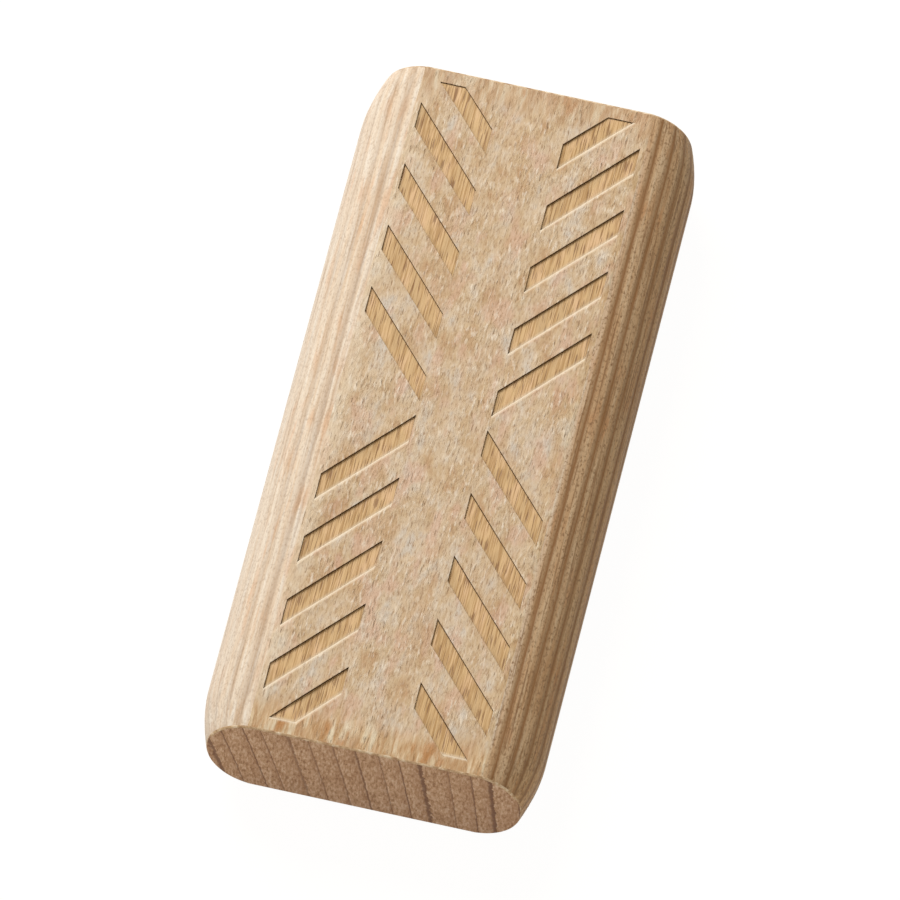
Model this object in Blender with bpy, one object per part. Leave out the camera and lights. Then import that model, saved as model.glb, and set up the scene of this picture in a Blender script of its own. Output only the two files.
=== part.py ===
"""Loose tenon: one flat bar of beech with half-round, grooved edges, tapered ends and pressed glue pockets.

Frame: X across the width, Y along the length, Z through the thickness, origin at the bar's centre.
All sizes are in metres.
"""
import math

import bmesh
import bpy

# Outside size of the bar: the common 8 mm tenon, 22 mm wide and 50 mm long
THICKNESS = 0.008
WIDTH = 0.022
LENGTH = 0.050
EDGE_RADIUS = THICKNESS / 2

# Long grooves in each rounded edge, evenly stepped round the half circle
GROOVES_PER_EDGE = 10
GROOVE_STEP = math.radians(16.2)
GROOVE_WIDTH = 0.0005
GROOVE_DEPTH = 0.00015
GROOVE_CUTS = 6

# Lead-in at both ends: how far the edges and the broad faces draw in, over what length, and how round
LEAD_IN_LENGTH = 0.0037
LEAD_IN_AT_EDGES = 0.0008
LEAD_IN_AT_FACES = 0.0002
LEAD_IN_CURVE = 1.8
LEAD_IN_STATIONS = 7

# Slanted glue pockets: two columns on each broad face, in a chevron that turns round at mid-length.
# A pocket's two short sides run along the bar, and its outer one lies further from mid-length by the rise.
POCKET_DEPTH = 0.0003
POCKET_SIDE = 0.00188
POCKET_RISE = 0.00557
POCKET_STEP = 0.0047
MID_LENGTH_GAP = 0.0011
PLAIN_STRIP_WIDTH = 0.0047
EDGE_MARGIN = 0.00375
END_MARGIN = 0.00105

# The cutters stand this far above the face that they cut
CUTTER_MARGIN = 0.001

SHARP_ANGLE = math.radians(30)

# Planed beech, colour in linear values
BEECH_COLOUR = (0.651, 0.451, 0.275, 1.0)
BEECH_ROUGHNESS = 0.62


def clear_scene():
    for obj in list(bpy.data.objects):
        bpy.data.objects.remove(obj, do_unlink=True)


def beech_material():
    material = bpy.data.materials.new("beech")
    material.use_nodes = True
    shader = material.node_tree.nodes["Principled BSDF"]
    shader.inputs["Base Color"].default_value = BEECH_COLOUR
    shader.inputs["Roughness"].default_value = BEECH_ROUGHNESS
    shader.inputs["Metallic"].default_value = 0.0
    return material


def draw_in(distance):
    """Share of the lead-in that is left at a distance from the end of the bar."""
    return max(0.0, 1 - distance / LEAD_IN_LENGTH) ** LEAD_IN_CURVE


def edge_profile():
    """Angle from the top and groove depth at each point round one half-round edge, top to bottom."""
    half_angle = GROOVE_WIDTH / 2 / EDGE_RADIUS
    first_groove = math.pi / 2 - (GROOVES_PER_EDGE - 1) / 2 * GROOVE_STEP
    points = [(i / 3 * (first_groove - half_angle), 0.0) for i in range(3)]
    for groove in range(GROOVES_PER_EDGE):
        centre = first_groove + groove * GROOVE_STEP
        for cut in range(GROOVE_CUTS + 1):
            across = 2 * cut / GROOVE_CUTS - 1
            depth = GROOVE_DEPTH * math.cos(across * math.pi / 2)
            points.append((centre + across * half_angle, depth))
        if groove < GROOVES_PER_EDGE - 1:
            points.append((centre + GROOVE_STEP / 2, 0.0))
    return points + [(math.pi - angle, 0.0) for angle, _ in reversed(points[:3])]


def section(distance):
    """The bar's outline (x, z) at a distance from its nearer end, clockwise from the top left."""
    left = draw_in(distance)
    flat = WIDTH / 2 - EDGE_RADIUS
    right_edge = []
    for angle, groove in edge_profile():
        sine, cosine = math.sin(angle), math.cos(angle)
        # The lead-in takes off this much along the radius, and a groove shows only where it is deeper
        taken = left * (LEAD_IN_AT_EDGES * sine * sine + LEAD_IN_AT_FACES * cosine * cosine)
        radius = EDGE_RADIUS - max(taken, groove)
        right_edge.append((flat + radius * sine, radius * cosine))
    return right_edge + [(-x, z) for x, z in reversed(right_edge)]


def bar_mesh():
    """The whole bar, lofted through sections that are closer together in the two lead-ins."""
    steps = [LEAD_IN_LENGTH * i / (LEAD_IN_STATIONS - 1) for i in range(LEAD_IN_STATIONS)]
    stations = [-LENGTH / 2 + d for d in steps] + [LENGTH / 2 - d for d in reversed(steps)]
    mesh = bmesh.new()
    rings = []
    for y in stations:
        outline = section(LENGTH / 2 - abs(y))
        rings.append([mesh.verts.new((x, y, z)) for x, z in outline])
    count = len(rings[0])
    for near, far in zip(rings, rings[1:]):
        for i in range(count):
            j = (i + 1) % count
            mesh.faces.new((near[i], near[j], far[j], far[i]))
    mesh.faces.new(rings[0])
    mesh.faces.new(rings[-1])
    bmesh.ops.recalc_face_normals(mesh, faces=mesh.faces)
    return mesh


def clip_beyond(corners, limit):
    """Cut off the part of a flat outline whose y is past the limit."""
    kept = []
    for (x0, y0), (x1, y1) in zip(corners, corners[1:] + corners[:1]):
        if y0 <= limit:
            kept.append((x0, y0))
        if (y0 <= limit) != (y1 <= limit):
            share = (limit - y0) / (y1 - y0)
            kept.append((x0 + share * (x1 - x0), limit))
    return kept


def pocket_outlines():
    """Outlines of the pockets in the quarter of the face with x and y above zero."""
    inner_x = PLAIN_STRIP_WIDTH / 2
    outer_x = WIDTH / 2 - EDGE_MARGIN
    field_end = LENGTH / 2 - END_MARGIN
    low = MID_LENGTH_GAP / 2
    while low + POCKET_SIDE < field_end:
        corners = [
            (inner_x, low),
            (outer_x, low + POCKET_RISE),
            (outer_x, low + POCKET_RISE + POCKET_SIDE),
            (inner_x, low + POCKET_SIDE),
        ]
        yield clip_beyond(corners, field_end)
        low += POCKET_STEP


def pocket_cutter_mesh():
    """One prism for every pocket, mirrored to the four quarters of both broad faces."""
    mesh = bmesh.new()
    low, high = THICKNESS / 2 - POCKET_DEPTH, THICKNESS / 2 + CUTTER_MARGIN
    for outline in pocket_outlines():
        for sx in (1, -1):
            for sy in (1, -1):
                for sz in (1, -1):
                    floor = [mesh.verts.new((sx * x, sy * y, sz * low)) for x, y in outline]
                    lid = [mesh.verts.new((sx * x, sy * y, sz * high)) for x, y in outline]
                    mesh.faces.new(floor)
                    mesh.faces.new(lid)
                    for i in range(len(floor)):
                        j = (i + 1) % len(floor)
                        mesh.faces.new((floor[i], floor[j], lid[j], lid[i]))
    bmesh.ops.recalc_face_normals(mesh, faces=mesh.faces)
    return mesh


def add_object(name, mesh, material=None):
    data = bpy.data.meshes.new(name)
    mesh.to_mesh(data)
    mesh.free()
    obj = bpy.data.objects.new(name, data)
    bpy.context.scene.collection.objects.link(obj)
    if material:
        data.materials.append(material)
    return obj


def build():
    clear_scene()
    tenon = add_object("tenon", bar_mesh(), beech_material())
    cutter = add_object("pocket_cutter", pocket_cutter_mesh())
    cutter.hide_render = True
    cutter.display_type = "WIRE"

    pockets = tenon.modifiers.new("pressed pockets", "BOOLEAN")
    pockets.operation = "DIFFERENCE"
    pockets.solver = "EXACT"
    pockets.object = cutter

    # The cut is made here, so that the sharp edges can be marked on the finished surface
    bpy.context.view_layer.objects.active = tenon
    bpy.ops.object.modifier_apply(modifier=pockets.name)
    bpy.data.objects.remove(cutter, do_unlink=True)
    for face in tenon.data.polygons:
        face.use_smooth = True
    tenon.data.set_sharp_from_angle(angle=SHARP_ANGLE)


build()
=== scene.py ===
import math

import bmesh
import bpy
from mathutils import Matrix, Vector


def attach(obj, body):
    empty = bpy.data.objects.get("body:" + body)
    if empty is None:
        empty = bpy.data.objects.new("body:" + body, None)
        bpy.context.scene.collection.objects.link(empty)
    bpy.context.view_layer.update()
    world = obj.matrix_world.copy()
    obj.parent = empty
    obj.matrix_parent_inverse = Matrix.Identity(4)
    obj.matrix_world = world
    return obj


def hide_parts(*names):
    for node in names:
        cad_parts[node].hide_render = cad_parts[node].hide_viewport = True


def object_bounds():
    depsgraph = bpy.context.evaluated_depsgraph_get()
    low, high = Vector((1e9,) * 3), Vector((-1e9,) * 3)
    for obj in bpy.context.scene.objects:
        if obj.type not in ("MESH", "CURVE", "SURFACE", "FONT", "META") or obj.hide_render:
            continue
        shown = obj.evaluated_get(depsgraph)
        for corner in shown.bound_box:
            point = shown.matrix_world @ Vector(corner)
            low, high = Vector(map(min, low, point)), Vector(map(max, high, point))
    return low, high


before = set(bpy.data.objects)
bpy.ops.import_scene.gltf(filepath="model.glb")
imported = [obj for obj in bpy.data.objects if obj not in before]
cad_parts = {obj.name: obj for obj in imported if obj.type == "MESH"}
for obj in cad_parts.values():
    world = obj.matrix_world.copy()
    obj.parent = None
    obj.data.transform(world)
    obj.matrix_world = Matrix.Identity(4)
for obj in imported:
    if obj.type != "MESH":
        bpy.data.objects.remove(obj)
cad_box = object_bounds()

MM = 0.001

# Places on the bar that the shape and the patterns go by, in millimetres
HALF_LENGTH = 25.0
FLAT_HALF_WIDTH = 7.0
EDGE_RADIUS = 4.0

# Field that the pockets lie in, and how far past it still counts as part of it
FIELD_HALF_WIDTH = 7.25
FIELD_HALF_LENGTH = 23.95
FIELD_SLACK_X = 0.05
FIELD_SLACK_Y = 0.02

# Pocket pattern: first inner corner, rise from the inner side to the outer one, length of a side and spacing
POCKET_LOW = 0.55
POCKET_INNER_X = 2.35
POCKET_RISE = 5.57
POCKET_SLANT = POCKET_RISE / (FIELD_HALF_WIDTH - POCKET_INNER_X)
POCKET_SIDE = 1.88
POCKET_STEP = 4.7

# Rolled rim of a pressed pocket, and the share of its depth that is left once its floor has sprung back
RIM_ROLL = 0.04
POCKET_KEEP = 0.48
# First profile line of the round edges, and how far it moves out to give the outer rims room
FIRST_LINE_X = 7.3
RIM_ROOM = 0.09

# Ragged edge round the sawn ends, and how far from mid-length the bar is untouched by it
END_BREAK = 0.16
WHOLE_HALF_LENGTH = HALF_LENGTH - END_BREAK - 0.01

# Long grooves: angle of the first from the top and of each step, and the share of their depth that the shape
# keeps, their shade being painted on the round edges instead
FIRST_GROOVE_DEG = 17.1
GROOVE_STEP_DEG = 16.2
GROOVE_KEEP = 0.25
GROOVED_FROM_X = 7.7

# Lead-in at both ends, as the part has it
LEAD_IN_LENGTH = 3.7
LEAD_IN_AT_EDGES = 0.8
LEAD_IN_AT_FACES = 0.2
LEAD_IN_CURVE = 1.8
LEAD_IN_STATIONS = 7

# How far out and how far down the pressed finish goes on the round edges
FACE_HALF_WIDTH = 7.63
FACE_DEPTH = 0.4
# Anything level and deeper than this in the pockets' field is a pocket's floor
FLOOR_DEPTH = 0.125

# Year rings in the sawn ends
RING_SPACING = 1.42

# Gap that keeps the floor from coinciding with the underside of the bar
FLOOR_GAP = 0.02

# Camera, as the photograph's outline gives it
CAMERA_PLACE = Vector((86.002, -469.736, 857.798)) * MM
CAMERA_RIGHT = Vector((0.97400, 0.22511, 0.02547))
CAMERA_UP = Vector((-0.20890, 0.84891, 0.48551))
LENS_MM = 612.47

FACE, FLOOR, WALL, BREAK, EDGE, END = range(6)


def linear(colour):
    """Linear RGBA from an sRGB hex colour."""
    parts = [int(colour[i:i + 2], 16) / 255 for i in (1, 3, 5)]
    return [p / 12.92 if p <= 0.04045 else ((p + 0.055) / 1.055) ** 2.4 for p in parts] + [1.0]


def node(tree, kind, inputs=None, stops=None, **settings):
    """Add a node with its settings, ramp stops and inputs; a node as an input links its first output."""
    made = tree.nodes.new("ShaderNode" + kind)
    for name, value in settings.items():
        setattr(made, name, value)
    if stops:
        marks = made.color_ramp.elements
        marks.remove(marks[-1])
        marks[0].position, marks[0].color = stops[0][0], linear(stops[0][1])
        for position, colour in stops[1:]:
            marks.new(position).color = linear(colour)
    for key, value in (inputs or {}).items():
        socket = made.inputs[key] if isinstance(key, int) else next(
            s for s in made.inputs if s.enabled and s.name == key)
        if isinstance(value, str):
            value = linear(value)
        if isinstance(value, bpy.types.Node):
            value = next(s for s in value.outputs if s.enabled)
        if isinstance(value, bpy.types.NodeSocket):
            tree.links.new(value, socket)
        else:
            socket.default_value = value
    return made


def new_material(name):
    material = bpy.data.materials.new(name)
    material.use_nodes = True
    material.node_tree.nodes.clear()
    return material, material.node_tree


def place_in_mm(tree):
    """Where a point lies on the bar, in millimetres from its centre."""
    place = node(tree, "TexCoord")
    return node(tree, "VectorMath", {0: place.outputs["Object"], "Scale": 1000.0}, operation="SCALE")


# Shape

def inside_field(point):
    """Whether a point is as far in as the pockets, from the sides and from the ends."""
    return (abs(point.x) < (FIELD_HALF_WIDTH + FIELD_SLACK_X) * MM
            and abs(point.y) < (FIELD_HALF_LENGTH + FIELD_SLACK_Y) * MM)


def zone_of(face, top):
    """Which way of working made this bit of the surface."""
    centre, normal = face.calc_center_median(), face.normal
    below = top - abs(centre.z)
    if abs(centre.y) > WHOLE_HALF_LENGTH * MM:
        return END if abs(normal.y) > 0.8 else BREAK
    if inside_field(centre) and abs(normal.z) < 0.6:
        return WALL
    if inside_field(centre) and below > FLOOR_DEPTH * MM and abs(normal.z) > 0.9:
        return FLOOR
    return FACE if abs(centre.x) < FACE_HALF_WIDTH * MM and below < FACE_DEPTH * MM else EDGE


def land_radius(y, across):
    """Distance from a round edge's centre line to its surface.

    across is 1 at the side of the bar and 0 at a broad face.
    """
    left = max(0.0, 1 - (HALF_LENGTH - abs(y) / MM) / LEAD_IN_LENGTH) ** LEAD_IN_CURVE
    return (EDGE_RADIUS - left * (LEAD_IN_AT_EDGES * across + LEAD_IN_AT_FACES * (1 - across))) * MM


def packed_bar():
    """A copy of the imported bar, with its loose triangles joined into whole faces."""
    shape = bmesh.new()
    shape.from_mesh(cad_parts["tenon"].data)
    bmesh.ops.remove_doubles(shape, verts=shape.verts, dist=0.0005 * MM)
    bmesh.ops.dissolve_limit(shape, angle_limit=math.radians(0.3), verts=shape.verts, edges=shape.edges)
    return shape


def starts_round_edge(edge):
    """Whether an edge runs along the line where a broad face turns into a round edge."""
    on_line = all(abs(abs(v.co.x) - FLAT_HALF_WIDTH * MM) < 0.001 * MM and abs(v.co.z) > 3.7 * MM
                  for v in edge.verts)
    return on_line and abs(edge.verts[0].co.x - edge.verts[1].co.x) < MM


def give_rims_room(shape):
    """Move the round edges' first line out, beside the pockets' outer sides, and drop the line before it."""
    for side in (1, -1):
        line = [v for v in shape.verts if abs(side * v.co.x - FIRST_LINE_X * MM) < 0.03 * MM]
        bmesh.ops.translate(shape, verts=line, vec=(side * RIM_ROOM * MM, 0, 0))
    starts = [e for e in shape.edges if starts_round_edge(e)]
    bmesh.ops.dissolve_edges(shape, edges=starts, use_verts=True)


def spring_floors_back(shape, top):
    """Raise the pockets' floors to the depth that they keep below the broad face."""
    for v in shape.verts:
        if inside_field(v.co) and 0.2 * MM < top - abs(v.co.z) < 0.4 * MM:
            face_height = land_radius(v.co.y, 0)
            v.co.z = math.copysign(face_height + (abs(v.co.z) - face_height) * POCKET_KEEP, v.co.z)


def is_rim(edge):
    return all(inside_field(v.co) and abs(v.co.z) > land_radius(v.co.y, 0) - 0.04 * MM for v in edge.verts)


def is_end_edge(edge):
    return all(abs(v.co.y) > (HALF_LENGTH - 0.001) * MM for v in edge.verts)


def soften(shape, chosen, width):
    """Round off the chosen edges among those where two faces meet at more than 60 degrees."""
    edges = [e for e in shape.edges if len(e.link_faces) == 2 and e.calc_face_angle() > math.radians(60)
             and chosen(e)]
    bmesh.ops.bevel(shape, geom=edges, offset=width * MM, offset_type="OFFSET", affect="EDGES",
                    segments=3, profile=0.5, material=-1)


def cut_round_edges(shape, y):
    """Cut the round edges across at one place, given in millimetres along the bar."""
    faces = [f for f in shape.faces
             if abs(f.calc_center_median().x) > GROOVED_FROM_X * MM and abs(f.normal.y) < 0.9]
    edges = list({e for f in faces for e in f.edges})
    bmesh.ops.bisect_plane(shape, geom=faces + edges, dist=0.0005 * MM,
                           plane_co=(0, y * MM, 0), plane_no=(0, 1, 0))


def settle_groove(v):
    """Lift one point of a groove towards the round edge that the groove is cut in."""
    axis = Vector((math.copysign(FLAT_HALF_WIDTH * MM, v.co.x), v.co.y, 0))
    out = v.co - axis
    depth = max(0.0, land_radius(v.co.y, (out.x / out.length) ** 2) - out.length)
    v.co = axis + out.normalized() * (out.length + depth * (1 - GROOVE_KEEP))


def settle_grooves(shape):
    """Lift all grooves, once they are cut across at the lead-ins' stations, which their bottoms run past."""
    for i in range(LEAD_IN_STATIONS - 1):
        station = HALF_LENGTH - LEAD_IN_LENGTH * (1 - i / (LEAD_IN_STATIONS - 1))
        for side in (1, -1):
            cut_round_edges(shape, side * station)
    for v in shape.verts:
        if abs(v.co.x) > GROOVED_FROM_X * MM and abs(v.co.y) < WHOLE_HALF_LENGTH * MM:
            settle_groove(v)


def put_in_order(shape):
    """Sort points and faces by place, since bevels leave them in an order that changes from run to run."""
    points = sorted(shape.verts, key=lambda v: tuple(v.co))
    point_rank = {v: i for i, v in enumerate(points)}
    shape.verts.sort(key=point_rank.get)
    faces = sorted(shape.faces, key=lambda f: sorted(point_rank[v] for v in f.verts))
    face_rank = {f: i for i, f in enumerate(faces)}
    shape.faces.sort(key=face_rank.get)


def tenon_shape():
    """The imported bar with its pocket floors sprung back, its pocket rims rolled and its end edges broken."""
    shape = packed_bar()
    top = max(v.co.z for v in shape.verts)
    give_rims_room(shape)
    spring_floors_back(shape, top)
    soften(shape, is_rim, RIM_ROLL)
    soften(shape, is_end_edge, END_BREAK)
    bmesh.ops.dissolve_degenerate(shape, dist=0.003 * MM, edges=shape.edges)
    settle_grooves(shape)

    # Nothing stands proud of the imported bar's broad faces
    for v in shape.verts:
        v.co.z = max(-top, min(top, v.co.z))
    for face in shape.faces:
        face.smooth = True
        face.material_index = zone_of(face, top)
    put_in_order(shape)
    return shape


def finished(name, shape, materials):
    data = bpy.data.meshes.new(name)
    shape.to_mesh(data)
    shape.free()
    for material in materials:
        data.materials.append(material)
    data.set_sharp_from_angle(angle=math.radians(50))
    piece = bpy.data.objects.new(name, data)
    bpy.context.scene.collection.objects.link(piece)
    # The broad faces keep flat normals up to their rolled rims
    flat = piece.modifiers.new("flat faces", "WEIGHTED_NORMAL")
    flat.keep_sharp = True
    return piece


# Materials. The fibres run along Y, and a pattern's factors are counts to the millimetre on each axis.

def pocket_rows(tree, axes):
    """Where a point lies among the slanted rows of pockets, all in millimetres.

    across is the distance from the centre line, and row the place along the whole pattern. towards_far and
    mirrored are the place in one row, counted towards the far end and the mirrored way. past_side and
    past_end say how far the point is past a pocket's near side and past its cut-off near end.
    """
    across = node(tree, "Math", {0: axes.outputs["X"]}, operation="ABSOLUTE")
    along = node(tree, "Math", {0: axes.outputs["Y"]}, operation="ABSOLUTE")
    row = node(tree, "Math", {0: across, 1: -POCKET_SLANT, 2: along}, operation="MULTIPLY_ADD")
    row = node(tree, "Math", {0: row, 1: POCKET_SLANT * POCKET_INNER_X - POCKET_LOW - POCKET_SIDE / 2},
               operation="ADD")
    in_row = node(tree, "Math", {0: row, 1: POCKET_STEP / 2, 2: -POCKET_STEP / 2}, operation="WRAP")
    half = node(tree, "Math", {0: axes.outputs["Y"]}, operation="SIGN")
    towards_far = node(tree, "Math", {0: in_row, 1: half}, operation="MULTIPLY")
    hand = node(tree, "Math", {0: axes.outputs["X"]}, operation="SIGN")
    mirrored = node(tree, "Math", {0: in_row, 1: hand}, operation="MULTIPLY")
    past_side = node(tree, "Math", {0: towards_far, 1: -1.0, 2: -POCKET_SIDE / 2}, operation="MULTIPLY_ADD")
    past_end = node(tree, "Math", {0: axes.outputs["Y"], 1: -1.5, 2: -1.5 * FIELD_HALF_LENGTH},
                    operation="MULTIPLY_ADD")
    return {"across": across, "row": row, "towards_far": towards_far, "mirrored": mirrored,
            "past_side": past_side, "past_end": past_end}


def pressed_face_beech():
    """Steamed beech pressed flat by the die: mottled pink, sand and cream flecks with a dented, matt skin."""
    material, tree = new_material("pressed_face_beech")
    mm = place_in_mm(tree)

    # Patches 1 mm across and 2.5 mm long
    at = node(tree, "VectorMath", {0: mm, 1: (0.9, 0.42, 0.9)}, operation="MULTIPLY")
    patch = node(tree, "TexNoise", {"Vector": at, "Scale": 1.0, "Detail": 3.0, "Roughness": 0.6})
    colour = node(tree, "ValToRGB", {"Fac": patch}, stops=[
        (0.3, "#b8936a"), (0.43, "#c6aa84"), (0.56, "#cfb899"), (0.7, "#cabdab")])
    at = node(tree, "VectorMath", {0: mm, 1: (0.8, 0.33, 0.8), 2: (31.0, 7.0, 2.0)}, operation="MULTIPLY_ADD")
    pink = node(tree, "TexNoise", {"Vector": at, "Scale": 1.0, "Detail": 2.0, "Roughness": 0.6})
    amount = node(tree, "MapRange", {"Value": pink, "From Min": 0.5, "From Max": 0.68, "To Max": 0.65},
                  interpolation_type="SMOOTHSTEP")
    colour = node(tree, "Mix", {"Factor": amount, "A": colour, "B": "#cfaa90"}, data_type="RGBA")
    at = node(tree, "VectorMath", {0: mm, 1: (0.5, 0.15, 0.5), 2: (9.0, 21.0, 4.0)}, operation="MULTIPLY_ADD")
    broad = node(tree, "TexNoise", {"Vector": at, "Scale": 1.0, "Detail": 3.0, "Roughness": 0.6})
    amount = node(tree, "MapRange", {"Value": broad, "From Min": 0.5, "From Max": 0.72, "To Max": 0.6},
                  interpolation_type="SMOOTHSTEP")
    colour = node(tree, "Mix", {"Factor": amount, "A": colour, "B": "#bb956b"}, data_type="RGBA")

    # Some places 2 mm across are dented more than others
    at = node(tree, "VectorMath", {0: mm, 1: (0.55, 0.4, 0.55), 2: (40.0, 3.0, 8.0)},
              operation="MULTIPLY_ADD")
    worn = node(tree, "TexNoise", {"Vector": at, "Scale": 1.0, "Detail": 2.0, "Roughness": 0.5})
    dented = node(tree, "MapRange", {"Value": worn, "From Min": 0.36, "From Max": 0.6, "To Min": 0.45,
                                     "To Max": 1.1})

    # Flecks 0.12 mm across and 0.5 mm long, darker and paler than the ground
    at = node(tree, "VectorMath", {0: mm, 1: (7.0, 1.9, 7.0), 2: (3.0, 1.0, 4.0)}, operation="MULTIPLY_ADD")
    fleck = node(tree, "TexNoise", {"Vector": at, "Scale": 1.0, "Detail": 3.0, "Roughness": 0.75})
    amount = node(tree, "MapRange", {"Value": fleck, "From Min": 0.53, "From Max": 0.28, "To Max": 0.85},
                  interpolation_type="SMOOTHSTEP")
    colour = node(tree, "Mix", {"Factor": amount, "A": colour, "B": "#9a7550"}, data_type="RGBA")
    at = node(tree, "VectorMath", {0: mm, 1: (4.5, 1.2, 4.5), 2: (5.0, 17.0, 9.0)}, operation="MULTIPLY_ADD")
    pale = node(tree, "TexNoise", {"Vector": at, "Scale": 1.0, "Detail": 3.0, "Roughness": 0.62})
    amount = node(tree, "MapRange", {"Value": pale, "From Min": 0.5, "From Max": 0.72, "To Max": 0.8},
                  interpolation_type="SMOOTHSTEP")
    amount = node(tree, "Math", {0: amount, 1: dented}, operation="MULTIPLY", use_clamp=True)
    colour = node(tree, "Mix", {"Factor": amount, "A": colour, "B": "#e9dac4"}, data_type="RGBA")

    # The strip beside the right edge is yellower, and the one beside the left edge paler
    axes = node(tree, "SeparateXYZ", {"Vector": mm})
    amount = node(tree, "MapRange", {"Value": axes.outputs["X"], "From Min": 6.7, "From Max": 7.5})
    colour = node(tree, "Mix", {"Factor": amount, "A": colour, "B": "#fcf8ee"},
                  data_type="RGBA", blend_type="MULTIPLY")
    amount = node(tree, "MapRange", {"Value": axes.outputs["X"], "From Min": -6.4, "From Max": -7.0,
                                     "To Max": 0.3})
    colour = node(tree, "Mix", {"Factor": amount, "A": colour, "B": "#e6d6bb"}, data_type="RGBA")

    # The last two millimetres are smoother: cream and tan streaks 0.5 mm wide, then orange-brown spots
    along = node(tree, "Math", {0: axes.outputs["Y"]}, operation="ABSOLUTE")
    near_end = node(tree, "MapRange", {"Value": along, "From Min": 22.2, "From Max": 24.0},
                    interpolation_type="SMOOTHSTEP")
    share = node(tree, "MapRange", {"Value": axes.outputs["Y"], "From Min": -20.0, "From Max": 20.0,
                                    "To Min": 1.0, "To Max": 0.8})
    near_end = node(tree, "Math", {0: near_end, 1: share}, operation="MULTIPLY")
    at = node(tree, "VectorMath", {0: mm, 1: (1.7, 0.2, 1.7), 2: (21.0, 8.0, 5.0)}, operation="MULTIPLY_ADD")
    streak = node(tree, "TexNoise", {"Vector": at, "Scale": 1.0, "Detail": 3.0, "Roughness": 0.62})
    streaks = node(tree, "ValToRGB", {"Fac": streak}, stops=[
        (0.36, "#e4d5b6"), (0.47, "#ceae84"), (0.56, "#b08453"), (0.68, "#d4bb94")])
    amount = node(tree, "Math", {0: near_end, 1: 0.8}, operation="MULTIPLY")
    colour = node(tree, "Mix", {"Factor": amount, "A": colour, "B": streaks.outputs["Color"]},
                  data_type="RGBA")
    at = node(tree, "VectorMath", {0: mm, 1: (0.9, 0.3, 0.9), 2: (12.0, 3.0, 5.0)}, operation="MULTIPLY_ADD")
    spot = node(tree, "TexNoise", {"Vector": at, "Scale": 1.0, "Detail": 3.0, "Roughness": 0.6})
    amount = node(tree, "MapRange", {"Value": spot, "From Min": 0.53, "From Max": 0.66, "To Max": 0.75},
                  interpolation_type="SMOOTHSTEP")
    amount = node(tree, "Math", {0: near_end, 1: amount}, operation="MULTIPLY")
    colour = node(tree, "Mix", {"Factor": amount, "A": colour, "B": "#b27a42"}, data_type="RGBA")

    # Painted shade darkens the far end slightly, where its lead-in faces the key lamp
    amount = node(tree, "MapRange", {"Value": axes.outputs["Y"], "From Min": 21.8, "From Max": 24.0,
                                     "To Max": 0.22}, interpolation_type="SMOOTHSTEP")
    colour = node(tree, "Mix", {"Factor": amount, "A": colour, "B": "#9c8068"}, data_type="RGBA")

    # Open pores, 0.1 mm wide and up to 1 mm long
    at = node(tree, "VectorMath", {0: mm, 1: (8.5, 1.1, 8.5), 2: (2.0, 5.0, 1.0)}, operation="MULTIPLY_ADD")
    pore = node(tree, "TexNoise", {"Vector": at, "Scale": 1.0, "Detail": 1.0, "Roughness": 0.4})
    pores = node(tree, "MapRange", {"Value": pore, "From Min": 0.66, "From Max": 0.76},
                 interpolation_type="SMOOTHSTEP")
    amount = node(tree, "Math", {0: pores, 1: 0.5}, operation="MULTIPLY")
    colour = node(tree, "Mix", {"Factor": amount, "A": colour, "B": "#8a6440"}, data_type="RGBA")

    # The skin rolls down over the last 0.3 mm before the pockets' sides and cut-off ends that face the key
    # lamp; the roll is a bump, and its paler colour is a painted highlight
    rows = pocket_rows(tree, axes)
    past = node(tree, "Math", {0: rows["past_side"], 1: rows["past_end"]}, operation="MAXIMUM")
    clear_of_lit_roll = node(tree, "MapRange", {"Value": past, "From Min": 0.0, "From Max": 0.3},
                  interpolation_type="SMOOTHSTEP")
    inside = POCKET_SIDE / 2 - RIM_ROLL
    for value, side_of, limit in (
            (rows["towards_far"], "GREATER_THAN", inside),
            (rows["mirrored"], "GREATER_THAN", inside),
            (rows["across"], "LESS_THAN", POCKET_INNER_X),
            (rows["across"], "GREATER_THAN", FIELD_HALF_WIDTH),
            (rows["row"], "LESS_THAN", -POCKET_STEP / 2),
            (rows["row"], "GREATER_THAN", 4.5 * POCKET_STEP),
            (axes.outputs["Y"], "GREATER_THAN", FIELD_HALF_LENGTH)):
        plain = node(tree, "Math", {0: value, 1: limit}, operation=side_of)
        clear_of_lit_roll = node(tree, "Math", {0: clear_of_lit_roll, 1: plain}, operation="MAXIMUM")
    # Painted highlight along the rolls that face the key lamp
    amount = node(tree, "MapRange", {"Value": clear_of_lit_roll, "To Min": 0.8, "To Max": 0.0})
    colour = node(tree, "Mix", {"Factor": amount, "A": colour, "B": "#f0e0c6"}, data_type="RGBA")

    height = node(tree, "Math", {0: fleck, 1: 0.8, 2: pale}, operation="MULTIPLY_ADD")
    height = node(tree, "Math", {0: pores, 1: -0.4, 2: height}, operation="MULTIPLY_ADD")
    height = node(tree, "Math", {0: height, 1: dented}, operation="MULTIPLY")
    height = node(tree, "Math", {0: clear_of_lit_roll, 1: 1.8, 2: height}, operation="MULTIPLY_ADD")
    dents = node(tree, "Bump", {"Strength": 1.0, "Distance": 0.08 * MM, "Height": height})
    shader = node(tree, "BsdfPrincipled", {"Base Color": colour, "Roughness": 0.62, "IOR": 1.5,
                                           "Specular IOR Level": 0.35, "Normal": dents})
    node(tree, "OutputMaterial", {"Surface": shader})
    return material


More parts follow.
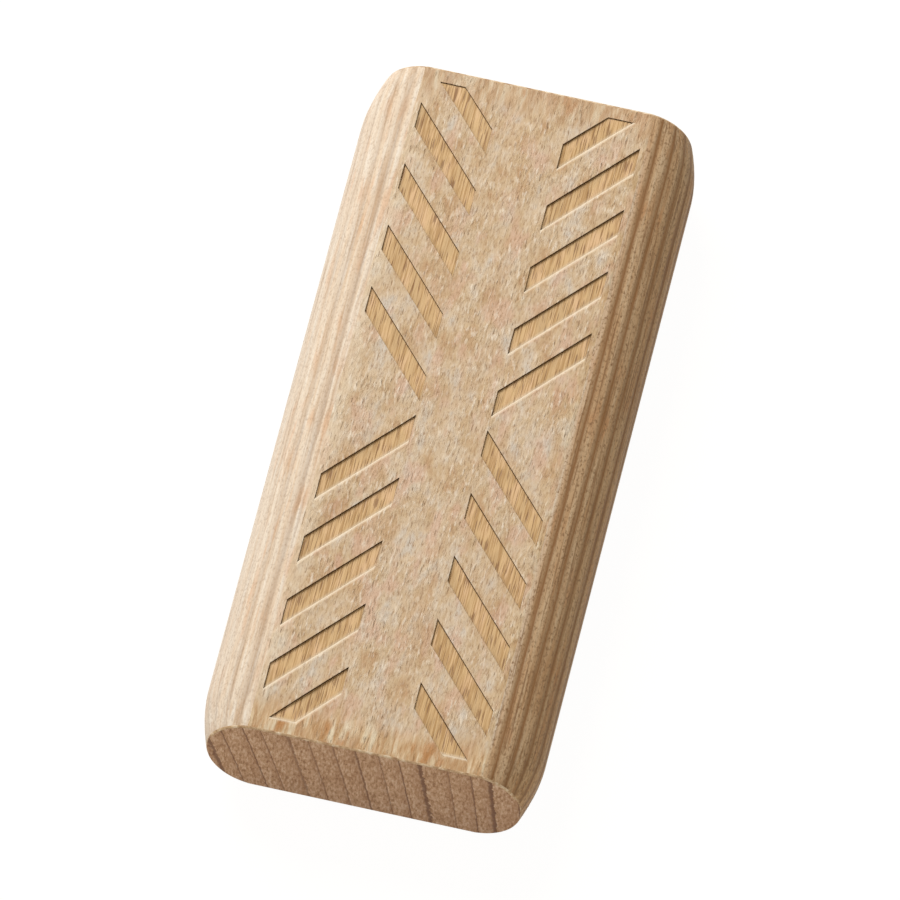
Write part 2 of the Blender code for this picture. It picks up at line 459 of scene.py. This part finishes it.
def pocket_floor_beech():
    """Beech ironed smooth by the raised die: even ochre, a little glossier, with fine dark vessel lines."""
    material, tree = new_material("pocket_floor_beech")
    mm = place_in_mm(tree)
    at = node(tree, "VectorMath", {0: mm, 1: (1.1, 0.4, 1.1), 2: (7.0, 3.0, 1.0)}, operation="MULTIPLY_ADD")
    tone = node(tree, "TexNoise", {"Vector": at, "Scale": 1.0, "Detail": 2.0, "Roughness": 0.5})
    colour = node(tree, "ValToRGB", {"Fac": tone}, stops=[
        (0.36, "#c6a473"), (0.5, "#d2ae7a"), (0.64, "#dab486")])

    # Soft lines 0.1 mm wide, and crisp darker ones 0.07 mm wide and 1.3 mm long
    at = node(tree, "VectorMath", {0: mm, 1: (10.0, 0.42, 10.0)}, operation="MULTIPLY")
    soft = node(tree, "TexNoise", {"Vector": at, "Scale": 1.0, "Detail": 2.0, "Roughness": 0.6})
    amount = node(tree, "MapRange", {"Value": soft, "From Min": 0.42, "From Max": 0.64, "To Max": 0.85},
                  interpolation_type="SMOOTHSTEP")
    colour = node(tree, "Mix", {"Factor": amount, "A": colour, "B": "#aa814a"}, data_type="RGBA")
    at = node(tree, "VectorMath", {0: mm, 1: (14.0, 0.75, 14.0), 2: (4.0, 9.0, 2.0)},
              operation="MULTIPLY_ADD")
    line = node(tree, "TexNoise", {"Vector": at, "Scale": 1.0, "Detail": 0.0})
    lines = node(tree, "MapRange", {"Value": line, "From Min": 0.58, "From Max": 0.72},
                 interpolation_type="SMOOTHSTEP")
    amount = node(tree, "Math", {0: lines, 1: 0.7}, operation="MULTIPLY")
    colour = node(tree, "Mix", {"Factor": amount, "A": colour, "B": "#75491d"}, data_type="RGBA")

    # Painted highlight: the floor is paler within 0.4 mm of the same lit sides as on the face
    axes = node(tree, "SeparateXYZ", {"Vector": mm})
    rows = pocket_rows(tree, axes)
    other_way = node(tree, "Math", {0: rows["mirrored"], 1: 0.0}, operation="GREATER_THAN")
    past_side = node(tree, "Math", {0: other_way, 1: -9.0, 2: rows["past_side"]}, operation="MULTIPLY_ADD")
    past = node(tree, "Math", {0: past_side, 1: rows["past_end"]}, operation="MAXIMUM")
    amount = node(tree, "MapRange", {"Value": past, "From Min": -0.4, "From Max": 0.0, "To Max": 0.7},
                  interpolation_type="SMOOTHSTEP")
    colour = node(tree, "Mix", {"Factor": amount, "A": colour, "B": "#ecd6b4"}, data_type="RGBA")

    height = node(tree, "Math", {0: lines, 1: -0.5, 2: soft}, operation="MULTIPLY_ADD")
    dents = node(tree, "Bump", {"Strength": 1.0, "Distance": 0.015 * MM, "Height": height})
    shader = node(tree, "BsdfPrincipled", {"Base Color": colour, "Roughness": 0.5, "IOR": 1.5,
                                           "Specular IOR Level": 0.35, "Normal": dents})
    node(tree, "OutputMaterial", {"Surface": shader})
    return material


def painted_shade_wall_beech():
    """Side of a pocket, painted dark brown as shade, and rough."""
    material, tree = new_material("painted_shade_wall_beech")
    mm = place_in_mm(tree)
    at = node(tree, "VectorMath", {0: mm, 1: (7.0, 3.0, 7.0)}, operation="MULTIPLY")
    fibre = node(tree, "TexNoise", {"Vector": at, "Scale": 1.0, "Detail": 2.0, "Roughness": 0.6})
    # Painted shade: near black-brown walls stand in for the shadow in the pockets
    colour = node(tree, "ValToRGB", {"Fac": fibre}, stops=[(0.35, "#271404"), (0.65, "#482a0e")])
    dents = node(tree, "Bump", {"Strength": 1.0, "Distance": 0.02 * MM, "Height": fibre})
    shader = node(tree, "BsdfPrincipled", {"Base Color": colour, "Roughness": 0.8, "IOR": 1.5,
                                           "Specular IOR Level": 0.1, "Normal": dents})
    node(tree, "OutputMaterial", {"Surface": shader})
    return material


def broken_end_beech():
    """End edges left ragged by the saw: pale torn fibres with brown gaps between them."""
    material, tree = new_material("broken_end_beech")
    mm = place_in_mm(tree)
    at = node(tree, "VectorMath", {0: mm, 1: (2.2, 3.0, 3.2)}, operation="MULTIPLY")
    fibre = node(tree, "TexNoise", {"Vector": at, "Scale": 1.0, "Detail": 4.0, "Roughness": 0.72})
    colour = node(tree, "ValToRGB", {"Fac": fibre}, stops=[
        (0.36, "#a07a55"), (0.5, "#c8a980"), (0.64, "#e6d3b6")])
    dents = node(tree, "Bump", {"Strength": 1.0, "Distance": 0.05 * MM, "Height": fibre})
    shader = node(tree, "BsdfPrincipled", {"Base Color": colour, "Roughness": 0.6, "IOR": 1.5,
                                           "Normal": dents})
    node(tree, "OutputMaterial", {"Surface": shader})
    return material


def milled_edge_beech():
    """Round edges milled along the grain: long cream and rosy streaks, with painted shade along the grooves
    and on the right-hand edge, and painted light on the left-hand one low down.
    """
    material, tree = new_material("milled_edge_beech")
    mm = place_in_mm(tree)

    # Streaks 0.25 mm wide and 6 mm long
    at = node(tree, "VectorMath", {0: mm, 1: (3.4, 0.15, 3.4), 2: (8.0, 2.0, 6.0)}, operation="MULTIPLY_ADD")
    streak = node(tree, "TexNoise", {"Vector": at, "Scale": 1.0, "Detail": 4.0, "Roughness": 0.65})
    colour = node(tree, "ValToRGB", {"Fac": streak}, stops=[
        (0.3, "#caad8e"), (0.44, "#d8c3a9"), (0.58, "#e0d2be"), (0.72, "#e6ddcf")])
    at = node(tree, "VectorMath", {0: mm, 1: (1.6, 0.3, 1.6), 2: (1.0, 12.0, 3.0)}, operation="MULTIPLY_ADD")
    rosy = node(tree, "TexNoise", {"Vector": at, "Scale": 1.0, "Detail": 2.0, "Roughness": 0.5})
    amount = node(tree, "MapRange", {"Value": rosy, "From Min": 0.53, "From Max": 0.75, "To Max": 0.6},
                  interpolation_type="SMOOTHSTEP")
    colour = node(tree, "Mix", {"Factor": amount, "A": colour, "B": "#d2a67e"}, data_type="RGBA")

    # Fine fuzz left by the cutter, 0.15 mm across and 0.25 mm long
    at = node(tree, "VectorMath", {0: mm, 1: (7.0, 4.0, 7.0), 2: (3.0, 1.0, 4.0)}, operation="MULTIPLY_ADD")
    fuzz = node(tree, "TexNoise", {"Vector": at, "Scale": 1.0, "Detail": 3.0, "Roughness": 0.65})
    # Painted shade darkens the right-hand edge and painted light pales the left-hand one low down; fuzz and
    # vessel marks are also stronger on the right-hand edge
    axes = node(tree, "SeparateXYZ", {"Vector": mm})
    z_size = node(tree, "Math", {0: axes.outputs["Z"]}, operation="ABSOLUTE")
    side = node(tree, "MapRange", {"Value": axes.outputs["X"], "From Min": -6.0, "From Max": 6.0},
                interpolation_type="SMOOTHSTEP")
    amount = node(tree, "MapRange", {"Value": z_size, "From Min": 3.97, "From Max": 3.86, "To Min": 0.3})
    amount = node(tree, "Math", {0: amount, 1: side}, operation="MULTIPLY")
    height_share = node(tree, "Math", {0: z_size, 1: 0.25}, operation="MULTIPLY")
    painted_shade_tint = node(tree, "ValToRGB", {"Fac": height_share}, stops=[(0.35, "#e8d0ac"), (0.85, "#ecd9bf")])
    # Painted shade over the right-hand edge
    colour = node(tree, "Mix", {"Factor": amount, "A": colour, "B": painted_shade_tint.outputs["Color"]},
                  data_type="RGBA", blend_type="MULTIPLY")
    painted_light_share = node(tree, "MapRange", {"Value": side, "To Min": 0.4, "To Max": 0.0})
    # Painted light on the lower left-hand edge
    amount = node(tree, "MapRange", {"Value": z_size, "From Min": 3.5, "From Max": 1.5, "To Max": painted_light_share})
    colour = node(tree, "Mix", {"Factor": amount, "A": colour, "B": "#f1e9de"}, data_type="RGBA")
    strength = node(tree, "MapRange", {"Value": side, "To Min": 0.4, "To Max": 1.0})
    amount = node(tree, "MapRange", {"Value": fuzz, "From Min": 0.54, "From Max": 0.28, "To Max": strength},
                  interpolation_type="SMOOTHSTEP")
    colour = node(tree, "Mix", {"Factor": amount, "A": colour, "B": "#8c6a48"}, data_type="RGBA")

    at = node(tree, "VectorMath", {0: mm, 1: (7.0, 0.16, 7.0), 2: (2.0, 6.0, 9.0)}, operation="MULTIPLY_ADD")
    vessel = node(tree, "TexNoise", {"Vector": at, "Scale": 1.0, "Detail": 2.0, "Roughness": 0.6})
    amount = node(tree, "MapRange", {"Value": vessel, "From Min": 0.5, "From Max": 0.7, "To Max": strength},
                  interpolation_type="SMOOTHSTEP")
    amount = node(tree, "Math", {0: amount, 1: 0.75}, operation="MULTIPLY")
    colour = node(tree, "Mix", {"Factor": amount, "A": colour, "B": "#85603c"}, data_type="RGBA")

    # Painted shade along each groove, 0.1 mm below its middle, stronger on the right-hand edge than on the
    # left, and nothing above the first one. The steps from groove to groove are counted round the half circle,
    # and backwards on the left
    x_size = node(tree, "Math", {0: axes.outputs["X"]}, operation="ABSOLUTE")
    out = node(tree, "Math", {0: x_size, 1: FLAT_HALF_WIDTH}, operation="SUBTRACT")
    angle = node(tree, "Math", {0: out, 1: z_size}, operation="ARCTAN2")
    steps = node(tree, "Math", {0: angle, 1: 180 / math.pi / GROOVE_STEP_DEG,
                                2: 1.915 - FIRST_GROOVE_DEG / GROOVE_STEP_DEG}, operation="MULTIPLY_ADD")
    grooved = node(tree, "MapRange", {"Value": steps, "From Min": 1.5, "From Max": 1.65})
    hand = node(tree, "Math", {0: axes.outputs["X"]}, operation="SIGN")
    steps = node(tree, "Math", {0: steps, 1: hand, 2: 20.7}, operation="MULTIPLY_ADD")
    phase = node(tree, "Math", {0: steps}, operation="FRACT")
    start = node(tree, "MapRange", {"Value": side, "To Min": 0.0, "To Max": 0.28})
    long_side = node(tree, "MapRange", {"Value": phase, "From Min": start, "From Max": 0.7})
    short_side = node(tree, "MapRange", {"Value": phase, "From Min": 0.92, "From Max": 0.74})
    shade = node(tree, "Math", {0: long_side, 1: short_side}, operation="MINIMUM")
    shade = node(tree, "Math", {0: shade, 1: 1.5}, operation="POWER")
    low_down = node(tree, "MapRange", {"Value": axes.outputs["Z"], "From Min": 1.5, "From Max": -1.0,
                                       "To Min": 0.18, "To Max": 0.42})
    depth = node(tree, "MapRange", {"Value": z_size, "From Min": 2.4, "From Max": 3.9, "To Min": low_down,
                                    "To Max": 0.4})
    right_depth = node(tree, "MapRange", {"Value": z_size, "From Min": 2.6, "From Max": 3.6, "To Min": 0.85,
                                          "To Max": 1.0})
    depth = node(tree, "MapRange", {"Value": side, "To Min": depth, "To Max": right_depth})
    amount = node(tree, "Math", {0: shade, 1: depth}, operation="MULTIPLY")
    amount = node(tree, "Math", {0: amount, 1: grooved}, operation="MULTIPLY")
    # Painted groove shade
    colour = node(tree, "Mix", {"Factor": amount, "A": colour, "B": "#866039"}, data_type="RGBA")

    height = node(tree, "Math", {0: fuzz, 1: 0.6, 2: streak}, operation="MULTIPLY_ADD")
    dents = node(tree, "Bump", {"Strength": 1.0, "Distance": 0.05 * MM, "Height": height})
    shader = node(tree, "BsdfPrincipled", {"Base Color": colour, "Roughness": 0.55, "IOR": 1.5,
                                           "Specular IOR Level": 0.25, "Normal": dents})
    node(tree, "OutputMaterial", {"Surface": shader})
    return material


def sawn_end_beech():
    """Sawn end grain: rosy brown, speckled with cut vessels, crossed by thin dark ring lines."""
    material, tree = new_material("sawn_end_beech")
    mm = place_in_mm(tree)
    axes = node(tree, "SeparateXYZ", {"Vector": mm})

    # Rings that lean more at the left than at the right, with their spacing slightly uneven
    lean = node(tree, "Math", {0: axes.outputs["X"], 1: -0.0105, 2: 0.17}, operation="MULTIPLY_ADD")
    ring = node(tree, "Math", {0: axes.outputs["Z"], 1: lean, 2: axes.outputs["X"]}, operation="MULTIPLY_ADD")
    along_rings = node(tree, "CombineXYZ", {"X": ring})
    uneven = node(tree, "TexNoise", {"Vector": along_rings, "Scale": 0.45, "Detail": 1.0, "Roughness": 0.5})
    ring = node(tree, "Math", {0: uneven, 1: 2.3, 2: ring}, operation="MULTIPLY_ADD")
    ragged = node(tree, "TexNoise", {"Vector": mm, "Scale": 1.8, "Detail": 4.0, "Roughness": 0.72})
    ring = node(tree, "Math", {0: ragged, 1: 0.34, 2: ring}, operation="MULTIPLY_ADD")
    turns = node(tree, "Math", {0: ring, 1: 1 / RING_SPACING}, operation="MULTIPLY")
    phase = node(tree, "Math", {0: turns}, operation="FRACT")
    at = node(tree, "VectorMath", {0: mm, 1: (8.0, 4.5, 2.8)}, operation="MULTIPLY")
    speckle = node(tree, "TexNoise", {"Vector": at, "Scale": 1.0, "Detail": 3.0, "Roughness": 0.68})
    colour = node(tree, "ValToRGB", {"Fac": speckle}, stops=[
        (0.3, "#845d40"), (0.44, "#b28c6a"), (0.56, "#caa789"), (0.7, "#e2c9b0")])
    # Late wood darkens towards the line and stops at it
    amount = node(tree, "MapRange", {"Value": phase, "From Min": 0.35, "From Max": 0.9, "To Max": 0.3},
                  interpolation_type="SMOOTHSTEP")
    colour = node(tree, "Mix", {"Factor": amount, "A": colour, "B": "#93694c"}, data_type="RGBA")
    # Some lines are strong and some hardly show
    count = node(tree, "Math", {0: turns}, operation="FLOOR")
    chance = node(tree, "TexWhiteNoise", {"W": count}, noise_dimensions="1D")
    strength = node(tree, "MapRange", {"Value": chance.outputs["Value"], "To Min": 0.45, "To Max": 0.85})
    amount = node(tree, "MapRange", {"Value": phase, "From Min": 0.87, "From Max": 0.94, "To Max": strength},
                  interpolation_type="SMOOTHSTEP")
    colour = node(tree, "Mix", {"Factor": amount, "A": colour, "B": "#633f28"}, data_type="RGBA")

    dents = node(tree, "Bump", {"Strength": 1.0, "Distance": 0.02 * MM, "Height": speckle})
    shader = node(tree, "BsdfPrincipled", {"Base Color": colour, "Roughness": 0.78, "IOR": 1.5,
                                           "Normal": dents})
    node(tree, "OutputMaterial", {"Surface": shader})
    return material


def seen_directly(tree):
    """1 for what the camera sees, also in a gloss or through glass, and 0 for what only lights the bar."""
    ray = node(tree, "LightPath")
    seen = node(tree, "Math", {0: ray.outputs["Is Camera Ray"], 1: ray.outputs["Is Glossy Ray"]},
                operation="MAXIMUM")
    return node(tree, "Math", {0: seen, 1: ray.outputs["Is Transmission Ray"]}, operation="MAXIMUM")


def white_sweep():
    """Matt white paper sweep: white to the camera, with the bar's soft shadow left on it."""
    material, tree = new_material("white_sweep")
    seen = seen_directly(tree)
    # Mostly plain white, set over 1 to make up for the share of lit paper, which takes the shadow
    paper = node(tree, "BsdfDiffuse", {"Color": "#c9bba3"})
    white = node(tree, "Emission", {"Color": "#ffffff", "Strength": 1.12})
    share = node(tree, "Math", {0: seen, 1: 0.86}, operation="MULTIPLY")
    surface = node(tree, "MixShader", {0: share, 1: paper, 2: white})
    node(tree, "OutputMaterial", {"Surface": surface})
    return material


tenon = finished("beech_tenon", tenon_shape(), [
    pressed_face_beech(), pocket_floor_beech(), painted_shade_wall_beech(), broken_end_beech(),
    milled_edge_beech(), sawn_end_beech()])
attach(tenon, "root")
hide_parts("tenon")


# Floor, light and camera

def add_floor():
    shape = bmesh.new()
    bmesh.ops.create_grid(shape, x_segments=1, y_segments=1, size=3.0)
    bmesh.ops.translate(shape, verts=shape.verts, vec=(0, 0, cad_box[0][2] - FLOOR_GAP * MM))
    data = bpy.data.meshes.new("floor")
    shape.to_mesh(data)
    shape.free()
    data.materials.append(white_sweep())
    floor = bpy.data.objects.new("floor", data)
    bpy.context.scene.collection.objects.link(floor)


def add_lamp(name, towards, distance, size, power):
    lamp = bpy.data.lights.new(name, "AREA")
    lamp.shape = "DISK"
    lamp.size = size
    lamp.energy = power
    holder = bpy.data.objects.new(name, lamp)
    direction = Vector(towards).normalized()
    holder.location = direction * distance
    holder.rotation_euler = direction.to_track_quat("Z", "Y").to_euler()
    bpy.context.scene.collection.objects.link(holder)


def add_world():
    world = bpy.data.worlds.new("studio")
    world.use_nodes = True
    tree = world.node_tree
    tree.nodes.clear()
    seen = seen_directly(tree)
    strength = node(tree, "MapRange", {"Value": seen, "To Min": 0.25, "To Max": 1.0})
    tone = node(tree, "Mix", {"Factor": seen, "A": "#fff2e3", "B": "#ffffff"}, data_type="RGBA")
    sky = node(tree, "Background", {"Color": tone, "Strength": strength})
    node(tree, "OutputWorld", {"Surface": sky})
    bpy.context.scene.world = world


def add_camera():
    lens = bpy.data.cameras.new("camera")
    lens.lens = LENS_MM
    lens.sensor_width = 36.0
    lens.clip_start = 0.01
    lens.clip_end = 20.0
    camera = bpy.data.objects.new("camera", lens)
    back = CAMERA_RIGHT.cross(CAMERA_UP)
    turn = Matrix((CAMERA_RIGHT, CAMERA_UP, back)).transposed().to_4x4()
    camera.matrix_world = Matrix.Translation(CAMERA_PLACE) @ turn
    bpy.context.scene.collection.objects.link(camera)
    bpy.context.scene.camera = camera


add_floor()
# Soft key from the photograph's upper left, a low panel at the left and a weak fill from the front
add_lamp("key", (-0.45, 0.60, 0.66), 0.6, 0.36, 3.7)
add_lamp("left_panel", (-0.95, 0.10, 0.20), 0.6, 0.30, 0.65)
add_lamp("front_fill", (0.2, -0.85, 0.45), 0.6, 0.30, 1.0)
add_world()
add_camera()
bpy.context.scene.view_settings.view_transform = "Standard"
